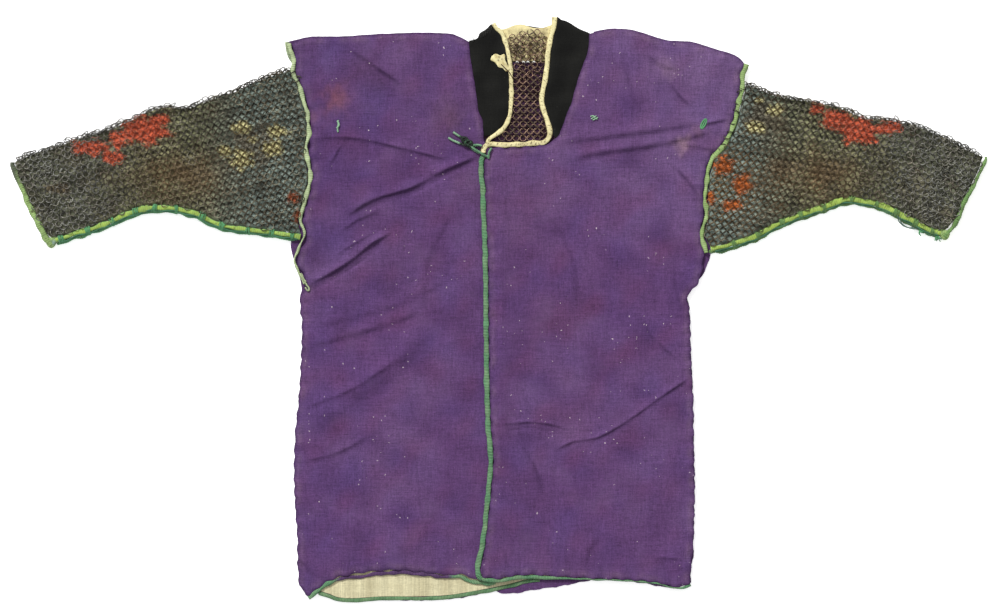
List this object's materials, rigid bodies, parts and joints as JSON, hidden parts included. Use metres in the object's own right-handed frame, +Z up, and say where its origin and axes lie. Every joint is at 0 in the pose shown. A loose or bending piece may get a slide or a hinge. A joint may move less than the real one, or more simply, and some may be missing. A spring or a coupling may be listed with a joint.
{
  "type": "mail jacket",
  "caption": "Short mail jacket laid flat: padded cloth body lapped left over right, black collar bands, and sleeves of linked rings over printed cloth.",
  "frame": {"origin": "middle of the outline, on the surface that the jacket lies on", "axes": "+X towards the wearer's left sleeve, +Y from the hem to the collar, +Z up, out of the fronts"},
  "size_m": [1.222, 0.7308, 0.0122],
  "materials": {
    "purple_cloth": "faded plain-weave hemp, matt, worn at its edges",
    "black_cloth": "black plain weave, matt",
    "lining_cloth": "undyed coarse weave",
    "leather": "pale tanned leather, stained",
    "cream_binding": "cream leather, folded over the edge and stitched",
    "green_binding": "green cloth tape, worn",
    "lime_binding": "pale lime cloth tape, worn and stitched",
    "printed_cloth": "grey-green cloth printed with flowers",
    "mail": "dark oxidised iron rings with worn highlights",
    "cord": "braided green cord"
  },
  "bodies": {
    "root": {"back_panel": "purple_cloth", "back_lining": "lining_cloth", "back_mail": "mail", "collar_back": "black_cloth", "neck_facing": "leather", "collar_right": "black_cloth", "collar_left": "black_cloth", "collar_binding_right": "cream_binding", "collar_binding_left": "cream_binding", "front_right": "purple_cloth", "front_left": "purple_cloth", "front_edge_binding": "green_binding", "hem_binding_back": "green_binding", "hem_binding_front_right": "green_binding", "hem_binding_front_left": "green_binding", "armhole_binding_front_right": "lime_binding", "armhole_binding_front_left": "lime_binding", "armhole_binding_back_right": "lime_binding", "armhole_binding_back_left": "lime_binding", "sleeve_cloth_right": "printed_cloth", "sleeve_cloth_left": "printed_cloth", "sleeve_mail_right": "mail", "sleeve_mail_left": "mail", "cuff_binding_right": "lime_binding", "cuff_binding_left": "lime_binding", "underarm_binding_front_right": "lime_binding", "underarm_binding_front_left": "lime_binding", "underarm_binding_back_right": "green_binding", "underarm_binding_back_left": "green_binding", "tie_cord_upper": "cord", "tie_cord_lower": "cord"}
  },
  "joints": []
}
